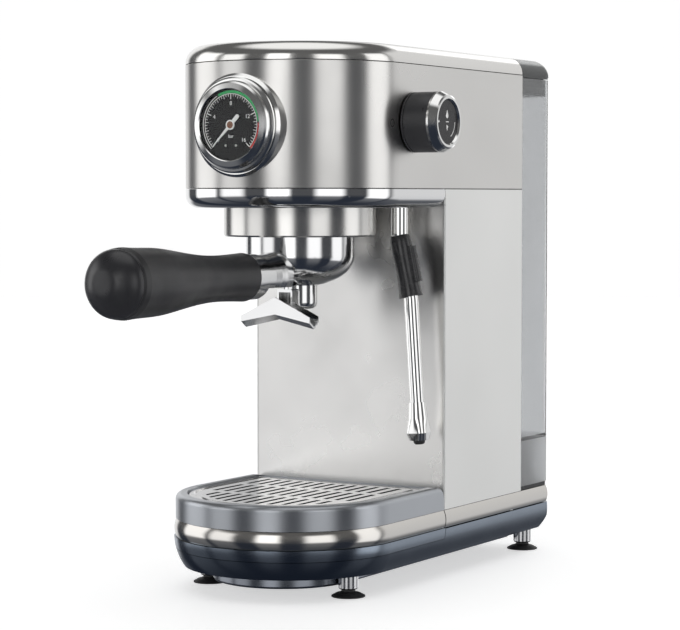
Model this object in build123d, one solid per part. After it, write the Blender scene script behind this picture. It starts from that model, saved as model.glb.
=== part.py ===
"""Compact espresso machine, built as it comes apart on a bench.

Working frame: X across the machine, -Y towards the person using it, Z up from the table.
The column's front face lies on Y = 0. Every piece is moved by one shift when it is written,
so that the origin ends up under the middle of the whole machine.
"""
import os
from math import cos, radians, sin

from build123d import *

# ---- Driving dimensions (mm) ----
BODY_HALF = 70.0            # half the casing's width
FRONT_CENTRE_Y = -58.0      # centre of the round front, and the brewing axis
BASE_CENTRE_Y = -70.0       # centre of the base's round front
COLUMN_BACK_Y = 106.5       # back edge of the side panels and the top cover
BACK_Y = 149.5              # back of the tank and base
SHEET = 1.5                 # casing sheet thickness
SEAM = 0.3                  # visible gap between casing pieces
REAR_CORNER_R = 5.0

TUB_Z = 14.0                # underside of the base
TRAY_Z = 25.0               # deck that the drip tray slides on
GROOVE_Z = 32.0             # groove under the bright band
BAND_TOP_Z = 43.0
TANK_Z = 45.5               # seam under the water tank
TRAY_TOP_Z = 58.0
HEAD_Z = 232.0              # underside of the head
SHELL_Z = 243.6             # seam under the brushed head shell
CAP_Z = 318.6               # seam under the top cover
TOP_Z = 330.0
CAP_EDGE_R = 10.5

BASE_HALF = 71.0
BASE_TUCK = 6.0             # how far the base curves in at its foot
TRAY_BACK_Y = -0.6
PLATE_HALF = 44.0           # dished plate under the base
PLATE_CENTRE_Y = -76.0
PLATE_Z = 6.0
SCREW_R = 1.5
FOOT_PLACES = [(-50, -84), (50, -84), (-57, 135), (57, 135)]
CUP_TOP_Z = 4.6             # top of the rubber cup on each foot
GLAND_X = 44.0              # entry of the mains lead
GLAND_Z = 24.0
GLAND_R = 6.0

DECK_Z = 246.0              # chassis deck that carries the brewing unit
DECK_T = 3.0
PUMP_X = 20.0
PUMP_Y = 55.0
BOILER_BACK_Y = -22.0

GROUP_R = 46.7
GROUP_Z = 214.5
SOCKET_R = 34.0             # bore that the portafilter turns in
LUG_R = 40.8
BOWL_R = 33.3
BOWL_TOP_Z = 223.6
BOWL_STRAIGHT_Z = 203.0
BOWL_BOTTOM_Z = 184.5
HANDLE_Z = 191.2
UNLOCK_DEG = 45.0           # how far the portafilter turns to let go
SPOUT_FLOOR_Z = 170.0
SPOUT_FRONT_Y = -87.0
SPOUT_BACK_Y = -75.8
SPOUT_HALF = 24.5
STUD_R = 4.0                # threaded stud that holds the grip
GRIP_PROFILE = [(14.4, -123.5), (13.9, -134), (13.5, -152), (14.1, -167), (15.6, -182), (17.5, -197),
                (19.1, -212), (19.5, -226), (20.1, -241)]

GAUGE_Z = 280.6
GAUGE_COLLAR_R = 30.5
BEZEL_R = 25.5
DIAL_R = 21.4
DIAL_Y = -134.0
NEEDLE_REST_DEG = 225.0     # direction of the needle's tip at rest, seen from the front

KNOB_Y = -40.0
KNOB_Z = 283.5
KNOB_R = 18.2
KNOB_FACE_X = 94.0

WAND_X = 48.7
WAND_Y = -20.0
WAND_BALL_Z = 240.0
WAND_BALL_R = 7.2
WAND_TUBE_R = 4.6
WAND_PATH = [(WAND_X, WAND_Y, WAND_BALL_Z), (WAND_X, WAND_Y, 214), (WAND_X + 8.2, WAND_Y, 176),
             (WAND_X + 12.8, WAND_Y, 108)]

TANK_TOP_Z = 316.9
TANK_FLOOR_Z = 76.0
TANK_WALL = 2.2
VALVE_X = 20.0
VALVE_Y = 128.0
HINGE_X = 30.0              # the lid's two hinge ears
HINGE_Y = 148.0
HINGE_Z = 318.9
EAR_HALF = 4.0

HANDLE_END_Y = -259.0
FRAME_SHIFT = (-(KNOB_FACE_X - BASE_HALF) / 2, -(HANDLE_END_Y + BACK_Y) / 2, 0)


# ---- Shared shape helpers ----
def block(x0, x1, y0, y1, z0, z1):
    """Box between two corners."""
    return Pos((x0 + x1) / 2, (y0 + y1) / 2, (z0 + z1) / 2) * Box(x1 - x0, y1 - y0, z1 - z0)


def post(x, y, z0, z1, radius):
    """Upright cylinder."""
    return Pos(x, y, (z0 + z1) / 2) * Cylinder(radius, z1 - z0)


def rod_y(x, z, y0, y1, radius):
    """Cylinder lying front to back."""
    return Pos(x, (y0 + y1) / 2, z) * Rot(90, 0, 0) * Cylinder(radius, y1 - y0)


def rod_x(y, z, x0, x1, radius):
    """Cylinder lying side to side."""
    return Pos((x0 + x1) / 2, y, z) * Rot(0, 90, 0) * Cylinder(radius, x1 - x0)


def turned(*outline):
    """Solid turned about Z from (radius, height) points or ready-made edges."""
    if isinstance(outline[0], tuple):
        edges = Polyline(*[(radius, 0, height) for radius, height in outline], close=True)
    else:
        edges = list(outline)
    return revolve(make_face(edges), Axis.Z)


def turned_towards_front(x, z, *outline):
    """Solid turned about a front-to-back axis, from (radius, y) points."""
    return Pos(x, 0, z) * Rot(-90, 0, 0) * turned(*[(radius, y) for radius, y in outline])


def round_front_plan(half, centre_y, back_y, z):
    """Flat outline with a half-round front and straight sides."""
    return make_face([
        Line((-half, back_y, z), (-half, centre_y, z)),
        ThreePointArc((-half, centre_y, z), (0, centre_y - half, z), (half, centre_y, z)),
        Line((half, centre_y, z), (half, back_y, z)),
        Line((half, back_y, z), (-half, back_y, z)),
    ])


def round_front_block(half, centre_y, back_y, z0, z1):
    return extrude(round_front_plan(half, centre_y, back_y, z0), z1 - z0, dir=(0, 0, 1))


def edges_at(shape, z):
    """Edges that lie flat at one height."""
    return [edge for edge in shape.edges()
            if abs(edge.bounding_box().min.Z - z) < 0.01 and abs(edge.bounding_box().max.Z - z) < 0.01]


def base_profile(inset, z0, z1):
    """Half outline of the base's curved side: edge points at z0, between and z1."""
    def out(z):
        rise = (z - TUB_Z) / (GROOVE_Z - TUB_Z)
        return BASE_HALF - inset - BASE_TUCK * (1 - rise) ** 2
    middle = (z0 + z1) / 2
    return (out(z0), z0), (out(middle), middle), (out(z1), z1)


def base_body(inset, z0, z1, back_y):
    """Solid with the base's outline: round front, tucked-in sides and back."""
    low, middle, high = base_profile(inset, z0, z1)
    axis_y = BASE_CENTRE_Y
    half_face = make_face([
        Line((0, axis_y, z0), (low[0], axis_y, z0)),
        ThreePointArc((low[0], axis_y, z0), (middle[0], axis_y, middle[1]), (high[0], axis_y, z1)),
        Line((high[0], axis_y, z1), (0, axis_y, z1)),
        Line((0, axis_y, z1), (0, axis_y, z0)),
    ])
    nose = revolve(half_face, Axis((0, axis_y, 0), (0, 0, 1)), 360)
    side = extrude(half_face, back_y - axis_y, dir=(0, 1, 0))
    body = nose + side + mirror(side, Plane.YZ)
    back = back_y - BASE_HALF
    rear_face = make_face([
        Line((-100, -160, z0), (-100, back + low[0], z0)),
        ThreePointArc((-100, back + low[0], z0), (-100, back + middle[0], middle[1]),
                      (-100, back + high[0], z1)),
        Line((-100, back + high[0], z1), (-100, -160, z1)),
        Line((-100, -160, z1), (-100, -160, z0)),
    ])
    half = BASE_HALF - inset
    plan = block(-half, half, -160, back_y - inset, z0, z1)
    corners = [edge for edge in plan.edges().filter_by(Axis.Z) if edge.center().Y > 0]
    body &= fillet(corners, REAR_CORNER_R + 1 - inset)
    return body & extrude(rear_face, 200, dir=(1, 0, 0))


def hose(radius, bend, *route):
    """Round hose or pipe along straight runs joined by arcs."""
    path = FilletPolyline(*route, radius=bend)
    start = Plane(origin=path @ 0, z_dir=path % 0)
    return sweep(start * Circle(radius), path=path)


def group(shapes):
    """One compound of separate solids."""
    return Compound([solid for shape in shapes for solid in shape.solids()])


def save(name, shape):
    """Write one piece, or one group of like pieces, in the finished frame."""
    placed = Pos(*FRAME_SHIFT) * shape
    export_step(placed, f"parts/{name}.step")


# ---- Base, feet and casing ----
def base_tub():
    """Grey lower shell: floor, tucked-in walls and the deck that the drip tray runs on."""
    wall = 2.5
    outer = base_body(0, TUB_Z, GROOVE_Z - SEAM, BACK_Y)
    outer -= block(-90, 90, -160, 0, TRAY_Z, 60)
    inner = base_body(wall, TUB_Z + wall, GROOVE_Z - SEAM, BACK_Y)
    inner -= block(-90, 90, -160, 4, TRAY_Z - wall, 60)
    inner += block(-66, 66, 4, BACK_Y - 5, GROOVE_Z - 3, 60)
    tub = outer - inner
    tub -= rod_y(GLAND_X, GLAND_Z, BACK_Y - 12, BACK_Y + 2, GLAND_R + 0.1)
    tub -= rod_y(GLAND_X, GLAND_Z, BACK_Y - 1.0, BACK_Y + 2, GLAND_R + 2.1)
    for x, y in screw_places():
        tub -= post(x, y, TUB_Z - 1, TUB_Z + 4, SCREW_R + 0.2)
    return tub


def base_band():
    """Bright convex trim around the back of the base."""
    return band_ring() & block(-90, 90, SEAM, BACK_Y, 0, 60)


def band_ring():
    """Convex band all round the machine, 2.6 mm thick."""
    thick = 2.6
    bulge = 0.9
    z0 = GROOVE_Z + SEAM
    z1 = BAND_TOP_Z
    half = BASE_HALF

    def section(y):
        return make_face([
            Line((half - thick, y, z0), (half - bulge, y, z0)),
            ThreePointArc((half - bulge, y, z0), (half, y, (z0 + z1) / 2 - 0.5), (half - 1.6 * bulge, y, z1)),
            Line((half - 1.6 * bulge, y, z1), (half - thick, y, z1)),
            Line((half - thick, y, z1), (half - thick, y, z0)),
        ])
    nose = revolve(section(BASE_CENTRE_Y), Axis((0, BASE_CENTRE_Y, 0), (0, 0, 1)), -180)
    corner_y = BACK_Y - REAR_CORNER_R
    side = extrude(section(BASE_CENTRE_Y), corner_y - BASE_CENTRE_Y, dir=(0, 1, 0))
    turn_x = half - REAR_CORNER_R
    corner = revolve(section(corner_y), Axis((turn_x, corner_y, 0), (0, 0, 1)), 90)
    back_section = Pos(turn_x, corner_y, 0) * Rot(0, 0, 90) * Pos(-turn_x, -corner_y, 0) * section(corner_y)
    back = extrude(back_section, turn_x, dir=(-1, 0, 0))
    right = side + corner + back
    return nose + right + mirror(right, Plane.YZ)


def screw_places():
    return [(x, y) for x in (-36, 36) for y in (-72, 128)]


def bottom_plate():
    """Dark dished plate under the base."""
    plate = round_front_block(PLATE_HALF, PLATE_CENTRE_Y, 140, PLATE_Z, TUB_Z)
    plate = fillet(edges_at(plate, PLATE_Z), 1.5)
    plate -= round_front_block(PLATE_HALF - 2, PLATE_CENTRE_Y, 138, PLATE_Z + 2, TUB_Z + 1)
    for x, y in screw_places():
        plate += post(x, y, PLATE_Z + 1, TUB_Z, 5) - post(x, y, PLATE_Z, TUB_Z, SCREW_R + 0.2)
        plate -= post(x, y, PLATE_Z - 1, TUB_Z, SCREW_R + 0.2)
    return plate


def casing_screws():
    """Four pan-head screws that hold the bottom plate."""
    def screw(x, y):
        head = turned((0, 4.6), (2.4, 4.6), (3.3, 5.4), (3.3, 6.0), (0, 6.0))
        head -= block(-0.5, 0.5, -2, 2, 4, 5.2) + block(-2, 2, -0.5, 0.5, 4, 5.2)
        return Pos(x, y, 0) * (head + post(0, 0, 6.0, 16.4, SCREW_R))
    return group(screw(x, y) for x, y in screw_places())


def foot_stems():
    """Four bright stems that carry the suction feet."""
    stem = turned((0, CUP_TOP_Z), (5.4, CUP_TOP_Z), (6.0, 5.4), (6.0, TUB_Z), (0, TUB_Z))
    return group(Pos(x, y, 0) * stem for x, y in FOOT_PLACES)


def suction_feet():
    """Four rubber suction cups with a thin flared lip."""
    cup = turned((0, 1.6), (5.4, 1.2), (8.0, 0), (10.2, 0), (10.2, 0.7), (7.4, 2.2), (4.9, 2.9),
                 (4.2, 3.4), (4.2, CUP_TOP_Z), (0, CUP_TOP_Z))
    return group(Pos(x, y, 0) * cup for x, y in FOOT_PLACES)


def cord_gland():
    """Rubber bush where the mains lead goes in."""
    flange = rod_y(GLAND_X, GLAND_Z, BACK_Y - 0.9, BACK_Y, GLAND_R + 2)
    neck = rod_y(GLAND_X, GLAND_Z, BACK_Y - 10, BACK_Y, GLAND_R)
    bush = neck + flange + rod_y(GLAND_X, GLAND_Z, BACK_Y - 10, BACK_Y - 7.5, GLAND_R + 1.5)
    return bush - rod_y(GLAND_X, GLAND_Z, BACK_Y - 11, BACK_Y + 1, 3.6)


def backsplash():
    """Satin front plate of the column, from the tray deck up into the head."""
    half = BODY_HALF - SHEET - 0.1
    return block(-half, half, 0, SHEET, GROOVE_Z - 0.2, DECK_Z - 0.2)


def side_panel(side):
    """Flat side sheet of the column with a turned-in front edge."""
    x_out = side * BODY_HALF
    x_in = side * (BODY_HALF - SHEET)
    sheet = block(min(x_in, x_out), max(x_in, x_out), 0, COLUMN_BACK_Y, BAND_TOP_Z + 0.4, SHELL_Z - SEAM)
    edges = [edge for edge in sheet.edges().filter_by(Axis.Z)
             if abs(edge.center().Y) < 0.01 and abs(edge.center().X - x_out) < 0.01]
    return fillet(edges, 1.1)


def rear_wall():
    """Black back wall between the works and the tank."""
    half = BODY_HALF - SHEET - 0.1
    wall = block(-half, half, 104, 106.3, BAND_TOP_Z + 0.4, CAP_Z - 0.2)
    wall += block(-half, half, 101.2, 104, BAND_TOP_Z + 0.4, BAND_TOP_Z + 3.4)
    return wall


def head_shell():
    """Brushed wrap around the head, open at the back, top and bottom."""
    z0 = SHELL_Z
    shell = round_front_block(BODY_HALF, FRONT_CENTRE_Y, COLUMN_BACK_Y, z0, CAP_Z)
    rims = [edge for z in (z0, CAP_Z) for edge in edges_at(shell, z)
            if edge.center().Y < COLUMN_BACK_Y - 1]
    shell = fillet(rims, 0.5)
    shell -= round_front_block(BODY_HALF - SHEET, FRONT_CENTRE_Y, COLUMN_BACK_Y + 1, z0 - 1, CAP_Z + 1)
    shell -= rod_y(0, GAUGE_Z, -140, -90, 27.2)
    shell -= rod_x(KNOB_Y, KNOB_Z, 60, 80, 5.6)
    return shell


def cap_block(inset):
    """Whole rounded cap over the head and the tank."""
    half = BODY_HALF - inset
    back = BACK_Y - inset
    corner = REAR_CORNER_R - inset
    plan = make_face([
        Line((-half, back - corner, CAP_Z), (-half, FRONT_CENTRE_Y, CAP_Z)),
        ThreePointArc((-half, FRONT_CENTRE_Y, CAP_Z), (0, FRONT_CENTRE_Y - half, CAP_Z),
                      (half, FRONT_CENTRE_Y, CAP_Z)),
        Line((half, FRONT_CENTRE_Y, CAP_Z), (half, back - corner, CAP_Z)),
        RadiusArc((half, back - corner, CAP_Z), (half - corner, back, CAP_Z), -corner),
        Line((half - corner, back, CAP_Z), (-half + corner, back, CAP_Z)),
        RadiusArc((-half + corner, back, CAP_Z), (-half, back - corner, CAP_Z), -corner),
    ])
    solid = extrude(plan, TOP_Z - inset - CAP_Z, dir=(0, 0, 1))
    return fillet(edges_at(solid, TOP_Z - inset), CAP_EDGE_R - inset)


def top_cover():
    """Polished cover with a shallow dish for warming cups."""
    wall = 2.0
    cover = cap_block(0) & block(-90, 90, -160, COLUMN_BACK_Y - 0.2, CAP_Z + SEAM, TOP_Z + 1)
    hollow = cap_block(wall) & block(-90, 90, -160, COLUMN_BACK_Y - 0.2 - wall, CAP_Z - 1, TOP_Z)
    dish = round_front_block(54, FRONT_CENTRE_Y, COLUMN_BACK_Y - 10, TOP_Z - 1.0, TOP_Z + 1)
    dish = fillet(dish.edges().filter_by(Axis.Z), 12)
    return cover - hollow - dish


def head_tray():
    """Polished dish under the head, with holes for the brewing group and the steam wand."""
    wall = 1.8
    top = SHELL_Z - SEAM
    back = -0.6
    dish = round_front_block(BODY_HALF, FRONT_CENTRE_Y, back, HEAD_Z, top)
    dish = fillet(edges_at(dish, HEAD_Z), 7.5)
    hollow = round_front_block(BODY_HALF - wall, FRONT_CENTRE_Y, back - wall, HEAD_Z + wall, top + 1)
    hollow = fillet(edges_at(hollow, HEAD_Z + wall), 5.7)
    dish -= hollow
    dish -= post(0, FRONT_CENTRE_Y, HEAD_Z - 1, HEAD_Z + 5, GROUP_R + 0.25)
    dish -= post(WAND_X, WAND_Y, HEAD_Z - 1, HEAD_Z + 5, 8.6)
    return dish


# ---- Works inside the casing ----

def chassis():
    """Moulded frame: floor, back spine and the deck that carries the brewing unit."""
    floor = block(-60, 60, 5, 136, 16.6, 19.6)
    spine = block(-62, 62, 98, 101, 16.6, DECK_Z)
    deck = round_front_block(62, FRONT_CENTRE_Y, 101, DECK_Z, DECK_Z + DECK_T)
    frame = floor + spine + deck
    for x in (-58, 55):
        frame += block(x, x + 3, 60, 98, 19.6, DECK_Z) - rod_x(60, 130, x - 1, x + 4, 30)
    frame -= post(0, FRONT_CENTRE_Y, DECK_Z - 1, DECK_Z + 4, 26)
    frame -= post(WAND_X, WAND_Y, DECK_Z - 1, DECK_Z + 4, 4)
    frame -= post(PUMP_X, PUMP_Y, DECK_Z - 1, DECK_Z + 4, 7)
    frame -= rod_y(VALVE_X, 29, 90, 110, 6)
    return frame


def boiler():
    """Cast heating block with its lower boss, lid seam and pipe stubs."""
    block_body = block(-40, 36, -90, BOILER_BACK_Y, 252, 290)
    block_body = fillet(block_body.edges().filter_by(Axis.Z), 8)
    block_body = fillet(edges_at(block_body, 290), 2)
    for z in (262, 278):
        groove = block(-41, 37, -91, BOILER_BACK_Y + 1, z, z + 1.2)
        groove -= block(-39, 35, -89, BOILER_BACK_Y - 1, z - 1, z + 3)
        block_body -= groove
    boss = post(0, FRONT_CENTRE_Y, 229, 252, 24.8)
    feet = block(-34, -22, -80, -30, DECK_Z + DECK_T, 252) + block(22, 34, -80, -30, DECK_Z + DECK_T, 252)
    stubs = rod_y(PUMP_X, 270, BOILER_BACK_Y, BOILER_BACK_Y + 6, 4)
    stubs += rod_x(-40, 257, 36, 40, 3.6)
    stubs += rod_x(-75, GAUGE_Z, -44, -40, 2.6)
    body = block_body + boss + feet + stubs
    body -= post(0, FRONT_CENTRE_Y, 228, 240, 2.2)
    return body - post(0, FRONT_CENTRE_Y, 240, 253, 1.6)


def group_collar():
    """Brewing group: brushed outer ring, bayonet groove and gasket seat."""
    z_lip = 216.4
    z_groove = 222.2
    ring = turned((31.9, GROUP_Z + 10), (GROUP_R, GROUP_Z + 10), (GROUP_R, HEAD_Z + 3.5), (42, HEAD_Z + 3.5),
                  (42, DECK_Z), (25.4, DECK_Z), (25.4, 231.2), (31.9, 231.2))
    skirt = turned((SOCKET_R, z_lip), (SOCKET_R, GROUP_Z), (GROUP_R - 1, GROUP_Z), (GROUP_R, GROUP_Z + 1),
                   (GROUP_R, GROUP_Z + 10), (SOCKET_R, GROUP_Z + 10), (SOCKET_R, z_groove),
                   (LUG_R + 1, z_groove), (LUG_R + 1, z_lip))
    gate = (block(-LUG_R - 1, LUG_R + 1, -11.5, 11.5, GROUP_Z - 1, z_lip + 1)
            & post(0, 0, GROUP_Z - 1, z_lip + 1, LUG_R + 1))
    collar = ring + skirt - Rot(0, 0, -UNLOCK_DEG) * gate
    for deg in range(30, 360, 60):
        x = 34 * cos(radians(deg))
        y = 34 * sin(radians(deg))
        collar -= post(x, y, DECK_Z - 8, DECK_Z + 1, 1.6)
    return Pos(0, FRONT_CENTRE_Y, 0) * collar


def group_gasket():
    """Rubber seal that the filter basket presses on."""
    return Pos(0, FRONT_CENTRE_Y, 0) * turned((25.6, 225.1), (31.6, 225.1), (31.6, 231.1), (25.6, 231.1))


def shower_screen():
    """Perforated plate that spreads the water over the coffee."""
    screen = turned((0, 226.8), (23.4, 226.8), (24.8, 227.6), (24.8, 229), (0, 229))
    for ring_r, count in ((7, 6), (12, 12), (17, 18), (21.5, 24)):
        for step in range(count):
            angle = radians(360 * step / count)
            screen -= post(ring_r * cos(angle), ring_r * sin(angle), 226, 230, 0.8)
    screen -= post(0, 0, 226, 230, 2.3)
    return Pos(0, FRONT_CENTRE_Y, 0) * screen


def screen_screw():
    """Flat-headed screw in the middle of the shower screen."""
    head = turned((0, 225.2), (3.6, 225.2), (4.4, 226), (4.4, 226.8), (0, 226.8))
    head -= block(-3, 3, -0.5, 0.5, 225, 225.8)
    return Pos(0, FRONT_CENTRE_Y, 0) * (head + post(0, 0, 226.8, 238, 2.1))


def pump():
    """Vibration pump: coil frame with an inlet neck below and an outlet neck above."""
    coil = block(PUMP_X - 21, PUMP_X + 21, PUMP_Y - 18, PUMP_Y + 18, 76, 126)
    coil = fillet(coil.edges().filter_by(Axis.Z), 5)
    frame_x = block(PUMP_X - 23, PUMP_X + 23, PUMP_Y - 10, PUMP_Y + 10, 73, 129)
    necks = post(PUMP_X, PUMP_Y, 58, 73, 8) + post(PUMP_X, PUMP_Y, 129, 158, 9)
    necks += post(PUMP_X, PUMP_Y, 52, 58, 3.0) + post(PUMP_X, PUMP_Y, 158, 164, 3.0)
    return coil + frame_x + necks


def pump_mounts():
    """Two rubber rings on brackets that let the pump shake freely."""
    lower = post(PUMP_X, PUMP_Y, 62, 69, 14) - post(PUMP_X, PUMP_Y, 60, 71, 8.1)
    upper = post(PUMP_X, PUMP_Y, 138, 145, 15) - post(PUMP_X, PUMP_Y, 136, 147, 9.1)
    lower += block(PUMP_X - 4, PUMP_X + 4, PUMP_Y + 12, 98, 62, 69)
    upper += block(PUMP_X - 4, PUMP_X + 4, PUMP_Y + 13, 98, 138, 145)
    return group([lower, upper])


def solenoid_valve():
    """Valve that sends water to the group or steam to the wand."""
    body = block(-34, -12, BOILER_BACK_Y, 4, 255, 271)
    coil = post(-23, -8, 271, 300, 11)
    coil = fillet(edges_at(coil, 300), 2)
    return body + coil + post(-23, -8, 300, 304, 4)


def selector_switch():
    """Rotary switch behind the knob."""
    body = block(47, 63, KNOB_Y - 14, KNOB_Y + 14, KNOB_Z - 14, KNOB_Z + 14)
    body = fillet(body.edges().filter_by(Axis.X), 3)
    body += rod_x(KNOB_Y, KNOB_Z, 63, BODY_HALF - SHEET - 0.1, 7)
    for z in (KNOB_Z - 8, KNOB_Z, KNOB_Z + 8):
        body += block(42, 47, KNOB_Y - 1.5, KNOB_Y + 1.5, z - 0.4, z + 0.4)
    return body - rod_x(KNOB_Y, KNOB_Z, 50, 72, 3.25)


def control_board():
    """Circuit board with relays and a transformer, upright in the column."""
    board_x = -52.0
    face_x = board_x + 1.6
    board = block(board_x, face_x, 12, 90, 110, 220)
    board += block(face_x, face_x + 22, 20, 50, 120, 150)
    for z in (160, 184):
        board += block(face_x, face_x + 16, 22, 42, z, z + 18)
    board += post(face_x + 8, 66, 170, 195, 6) + block(face_x, face_x + 8, 62, 70, 170, 195)
    return board + block(face_x, face_x + 4, 54, 84, 128, 136)


def suction_hose():
    """Clear hose from the tank socket to the pump."""
    return hose(4.0, 9, (VALVE_X, VALVE_Y, 40), (VALVE_X, VALVE_Y, 29), (VALVE_X, PUMP_Y, 29),
                (VALVE_X, PUMP_Y, 52))


def pressure_hose():
    """Hose from the pump up to the heating block."""
    return hose(3.2, 16, (PUMP_X, PUMP_Y, 164), (PUMP_X, PUMP_Y, 270), (PUMP_X, BOILER_BACK_Y + 6, 270))


def steam_pipe():
    """Metal pipe from the heating block to the wand socket."""
    return hose(2.2, 5, (40, -40, 257), (WAND_X, -40, 257), (WAND_X, WAND_Y, 257), (WAND_X, WAND_Y, 248.5))


def gauge_capillary():
    """Thin pipe from the heating block to the pressure gauge."""
    return hose(1.0, 2.5, (-44, -75, GAUGE_Z), (-50, -75, GAUGE_Z), (-50, -96, GAUGE_Z), (0, -96, GAUGE_Z),
                (0, -102, GAUGE_Z))


def tank_dock():
    """Black seat under the tank, with a pedestal and the pin that opens the valve."""
    corner = REAR_CORNER_R - 1
    half = BODY_HALF - 1
    deck = block(-half, half, 106.6, BACK_Y - 1, BAND_TOP_Z + SEAM, TANK_Z)
    corners = [edge for edge in deck.edges().filter_by(Axis.Z) if edge.center().Y > 140]
    deck = fillet(corners, corner)
    pedestal = block(-60, 60, 113, 143, TANK_Z, 71)
    pedestal = fillet(pedestal.edges().filter_by(Axis.Z), 8)
    pedestal -= block(-57, 57, 116, 140, 40, 68)
    pin = post(VALVE_X, VALVE_Y, 40, 71, 7) + post(VALVE_X, VALVE_Y, 71, 73.2, 1.4)
    dock = deck + pedestal + pin
    dock -= block(-55, 55, 118, 138, 40, 46) - post(VALVE_X, VALVE_Y, 38, 50, 7)
    channel = post(VALVE_X, VALVE_Y, 39, 69, 3)
    for angle in range(0, 360, 90):
        x = VALVE_X + 4 * cos(radians(angle))
        y = VALVE_Y + 4 * sin(radians(angle))
        channel += post(x, y, 60, 72, 1.2)
    return dock - channel


# ---- Pressure gauge ----
def gauge_case():
    """Cup behind the dial."""
    return turned_towards_front(0, GAUGE_Z, (0, -102), (26.6, -102), (26.6, -130), (24.2, -130),
                                (24.2, -132.9), (22, -132.9), (22, -104), (0, -104))


def gauge_collar():
    """Chrome ring that seats the gauge on the round front."""
    ring = turned_towards_front(0, GAUGE_Z, (26.9, -112), (GAUGE_COLLAR_R, -112), (GAUGE_COLLAR_R, -128.2),
                                (28.9, -129.8), (26.9, -129.8))
    return ring - post(0, FRONT_CENTRE_Y, 200, 340, BODY_HALF + 0.1)


def gauge_bezel():
    """Stepped chrome bezel around the glass."""
    return turned_towards_front(0, GAUGE_Z, (24.4, -130.1), (28.0, -130.1), (28.2, -131.6), (27.2, -132.4),
                                (26.0, -132.6), (BEZEL_R, -135.2), (24.4, -136.1), (21.4, -136.9),
                                (20.9, -136.4), (21.7, -136.3), (21.7, -133.1), (24.4, -133.1))


def gauge_dial():
    """Flat dial plate with a hole for the needle's shaft."""
    return turned_towards_front(0, GAUGE_Z, (1.3, DIAL_Y), (DIAL_R, DIAL_Y), (DIAL_R, -133.0), (1.3, -133.0))


def gauge_glass():
    return turned_towards_front(0, GAUGE_Z, (0, -136.2), (21.5, -136.2), (21.5, -135.4), (0, -135.4))


def gauge_needle():
    """Tapered needle with a round counterweight, hub and shaft."""
    tip = 17.0
    tail = 6.8
    end_r = 1.25
    front = -134.9
    thick = 0.5
    outline = [(tip, 0.2), (tip, -0.2), (0, -1.05), (-tail, -end_r), (-tail, end_r), (0, 1.05)]
    blade = make_face(Polyline(*outline, close=True))
    flat = extrude(blade, thick) + Pos(-tail, 0, thick / 2) * Cylinder(end_r, thick)
    flat = Rot(0, 0, NEEDLE_REST_DEG) * flat
    needle = Pos(0, front + thick, GAUGE_Z) * Rot(90, 0, 0) * flat
    hub = rod_y(0, GAUGE_Z, -135.1, -134.3, 2.9)
    return needle + hub + rod_y(0, GAUGE_Z, -134.3, -118, 1.0)


# ---- Selector knob ----
def knob_body():
    """Black knob, hollow behind, with a groove near the panel, and its spindle."""
    shell = rod_x(KNOB_Y, KNOB_Z, BODY_HALF + 0.8, 88, KNOB_R)
    shell -= rod_x(KNOB_Y, KNOB_Z, BODY_HALF, 84, KNOB_R - 2.6)
    groove = rod_x(KNOB_Y, KNOB_Z, BODY_HALF + 2.0, BODY_HALF + 2.6, 30)
    shell -= groove - rod_x(KNOB_Y, KNOB_Z, 60, 90, KNOB_R - 0.5)
    spindle = rod_x(KNOB_Y, KNOB_Z, 52, 86, 3.0)
    return shell + spindle + rod_x(KNOB_Y, KNOB_Z, BODY_HALF + 1.2, 86, 5.0)


def knob_ring():
    """Chrome bevelled ring at the knob's face."""
    ring = turned((13.1, 88), (KNOB_R, 88), (KNOB_R + 0.1, 89.4), (16.2, 93.4), (15.2, KNOB_FACE_X),
                  (13.9, KNOB_FACE_X), (13.1, 92.8))
    return Pos(0, KNOB_Y, KNOB_Z) * Rot(0, 90, 0) * ring


def knob_face():
    """Dark disc set back in the ring."""
    return rod_x(KNOB_Y, KNOB_Z, 88, 92.6, 13.0)


# ---- Steam wand ----
def wand_socket():
    """Socket under the deck that the wand's ball turns in."""
    ball = Pos(WAND_X, WAND_Y, WAND_BALL_Z) * Sphere(WAND_BALL_R + 0.3)
    cup = post(WAND_X, WAND_Y, 235.5, DECK_Z, 10.5) - ball
    cup -= post(WAND_X, WAND_Y, 235, 238, 6.2)
    return cup - post(WAND_X, WAND_Y, 244, 250, 2.4)


def wand_tube():
    """Polished tube with its ball end, bent outwards under the grip."""
    tube = hose(WAND_TUBE_R, 18, *WAND_PATH)
    ball = Pos(WAND_X, WAND_Y, WAND_BALL_Z) * Sphere(WAND_BALL_R)
    sleeve = post(WAND_X, WAND_Y, 214.8, 234.4, 5.2)
    return tube + ball + sleeve


def tilt_along(start, end):
    """Plane at a point of the wand, its Z running down the tube."""
    a = Vector(*start)
    b = Vector(*end)
    return Plane(origin=a, z_dir=(b - a), x_dir=(0, 1, 0))


def wand_grip():
    """Black grip with a flared foot and a thumb tab on its outer side."""
    frame = tilt_along((WAND_X, WAND_Y, 214.6), (WAND_X + 8.2, WAND_Y, 176.6))
    sections = ((0, 5.9), (6, 6.6), (16, 6.4), (28, 6.6), (36, 7.3), (38.4, 7.5))
    body = loft([frame.offset(depth) * Circle(radius) for depth, radius in sections])
    tab = frame * Pos(0, 0, 19)
    tab_shape = Pos(0, 6.2, 0) * Box(6.4, 6.0, 22)
    tab_shape = fillet(tab_shape.edges().filter_by(Axis.Z), 2.6)
    lug = tab * tab_shape
    if lug.center().X < WAND_X + 3:
        lug = tab * Rot(0, 0, 180) * tab_shape
    grip = body + lug
    bore = hose(WAND_TUBE_R + 0.15, 18, *WAND_PATH) + post(WAND_X, WAND_Y, 213, 216, 5.3)
    return grip - bore


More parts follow.
